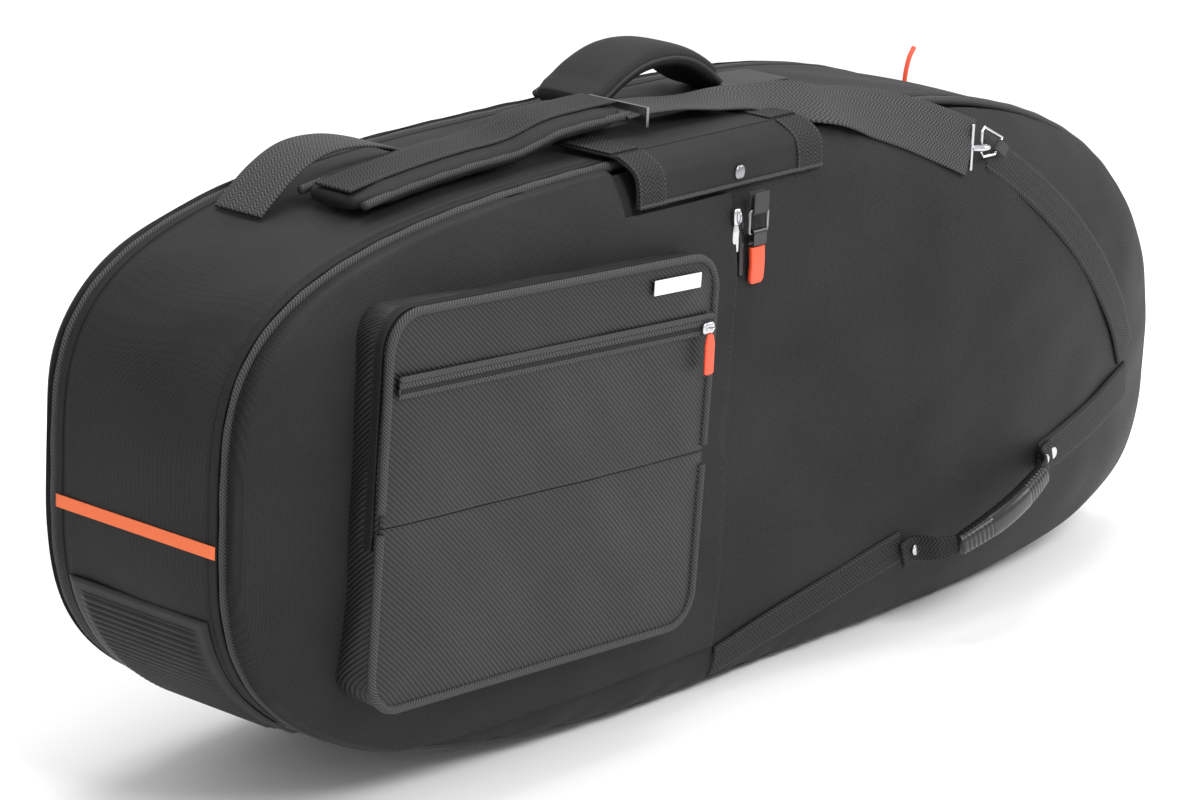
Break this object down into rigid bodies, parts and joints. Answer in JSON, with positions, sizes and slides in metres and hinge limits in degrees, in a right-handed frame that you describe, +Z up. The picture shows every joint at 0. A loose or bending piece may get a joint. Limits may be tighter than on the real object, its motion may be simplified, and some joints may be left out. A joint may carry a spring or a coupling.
{
  "type": "tuba gig bag",
  "caption": "Soft padded gig bag for a tuba, lying on its long edge, with a music pocket, storm flap, carry handle and shoulder straps.",
  "frame": {"origin": "under the bag, in its middle plane, on the floor it lies on", "axes": "+X towards the bell end, +Y towards the back lid, +Z up"},
  "size_m": [1.2024, 0.3702, 0.52],
  "materials": {
    "charcoal_nylon": "woven",
    "twill_piping": "twill",
    "pocket_twill": "shiny diagonal twill",
    "foam": "soft",
    "orange": "satin",
    "steel": "nickel plated",
    "black_plastic": "satin",
    "rubber": "ribbed",
    "label_white": "plain"
  },
  "bodies": {
    "bag": {"back_zipper_tape": "twill_piping", "backpack_pad": "charcoal_nylon", "backpack_webbing": "twill_piping", "bell_band": "twill_piping", "bell_cushion": "foam", "bell_panel": "charcoal_nylon", "bell_piping": "twill_piping", "bottom_cushion": "foam", "buckle_base": "black_plastic", "buckle_tab": "charcoal_nylon", "flap_seam": "twill_piping", "flap_top": "charcoal_nylon", "front_zipper_tape": "twill_piping", "grip": "black_plastic", "gusset": "charcoal_nylon", "gusset_padding": "foam", "handle_rivet": "steel", "kick_plate": "rubber", "lower_back_panel": "charcoal_nylon", "lower_back_piping": "twill_piping", "lower_grip_loop": "charcoal_nylon", "lower_handle_band": "twill_piping", "marker_band": "orange", "ring_keeper": "twill_piping", "shoulder_pad": "charcoal_nylon", "snap_hook": "steel", "strap_adjuster": "steel", "strap_anchor": "twill_piping", "strap_webbing": "twill_piping", "tie_strap": "twill_piping", "triangle_ring": "steel", "upper_grip_loop": "charcoal_nylon", "upper_handle_band": "twill_piping"},
    "door": {"door_panel": "charcoal_nylon", "door_piping": "twill_piping", "pocket_body": "pocket_twill", "pocket_lower_front": "pocket_twill"},
    "door_slider": {"door_slider": "steel"},
    "door_pull": {"door_pull": "steel"},
    "pocket_slider": {"pocket_slider": "steel"},
    "pocket_pull": {"pocket_pull": "orange"},
    "pocket_flap": {"pocket_flap": "pocket_twill", "pouch_zipper": "twill_piping", "label": "label_white"},
    "pouch_slider": {"pouch_slider": "steel"},
    "pouch_pull": {"pouch_pull": "orange"},
    "lid": {"lid_panel": "charcoal_nylon", "lid_piping": "twill_piping"},
    "lid_slider": {"lid_slider": "steel"},
    "lid_pull": {"lid_pull": "orange"},
    "flap": {"flap_leaf": "charcoal_nylon", "flap_band_left": "twill_piping", "flap_band_right": "twill_piping", "flap_snap": "black_plastic"},
    "ring": {"buckle_ring": "steel"},
    "hook": {"buckle_hook": "black_plastic"},
    "hook_pull": {"buckle_pull": "orange"}
  },
  "joints": [
    {"name": "door_hinge", "type": "hinge", "parent": "bag", "child": "door", "pos_m": [0, -0.127, 0.05], "axis": [1, 0, 0], "range_deg": [0, 80]},
    {"name": "door_slide", "type": "slide", "parent": "door", "child": "door_slider", "axis": [0, 0, -1], "range_m": [0, 0.03]},
    {"name": "door_pull_hinge", "type": "hinge", "parent": "door_slider", "child": "door_pull", "pos_m": [-0.075, -0.13055, 0.4047], "axis": [-1, 0, 0], "range_deg": [0, 55]},
    {"name": "pocket_slide", "type": "slide", "parent": "door", "child": "pocket_slider", "axis": [0.047, 0, 0.9989], "range_m": [0, 0.08]},
    {"name": "pocket_pull_hinge", "type": "hinge", "parent": "pocket_slider", "child": "pocket_pull", "pos_m": [-0.1284, -0.142, 0.2447], "axis": [0, -1, 0], "range_deg": [0, 55]},
    {"name": "pocket_flap_hinge", "type": "hinge", "parent": "door", "child": "pocket_flap", "pos_m": [-0.318, -0.158, 0.245], "axis": [0.9989, 0, -0.047], "range_deg": [0, 70]},
    {"name": "pouch_slide", "type": "slide", "parent": "pocket_flap", "child": "pouch_slider", "axis": [-0.9989, 0, 0.047], "range_m": [0, 0.3]},
    {"name": "pouch_pull_hinge", "type": "hinge", "parent": "pouch_slider", "child": "pouch_pull", "pos_m": [-0.14372, -0.1646, 0.33461], "axis": [-1, 0, 0], "range_deg": [0, 55]},
    {"name": "lid_hinge", "type": "hinge", "parent": "bag", "child": "lid", "pos_m": [0, 0.1411, 0.05], "axis": [-1, 0, 0], "range_deg": [0, 90]},
    {"name": "lid_slide", "type": "slide", "parent": "bag", "child": "lid_slider", "axis": [0.9079, 0, -0.4192], "range_m": [0, 0.012]},
    {"name": "lid_pull_hinge", "type": "hinge", "parent": "lid_slider", "child": "lid_pull", "pos_m": [0.43361, 0.0815, 0.41565], "axis": [0, 1, 0], "range_deg": [-50, 50]},
    {"name": "flap_fold", "type": "hinge", "parent": "bag", "child": "flap", "pos_m": [0, -0.097, 0.473], "axis": [-1, 0, 0], "range_deg": [0, 95]},
    {"name": "ring_hinge", "type": "hinge", "parent": "bag", "child": "ring", "pos_m": [-0.05, -0.13322, 0.414], "axis": [-1, 0, 0], "range_deg": [0, 25]},
    {"name": "hook_hinge", "type": "hinge", "parent": "ring", "child": "hook", "pos_m": [-0.05, -0.13322, 0.396], "axis": [-1, 0, 0], "range_deg": [0, 25]},
    {"name": "hook_pull_hinge", "type": "hinge", "parent": "hook", "child": "hook_pull", "pos_m": [-0.05, -0.13322, 0.3854], "axis": [-1, 0, 0], "range_deg": [0, 30]}
  ]
}
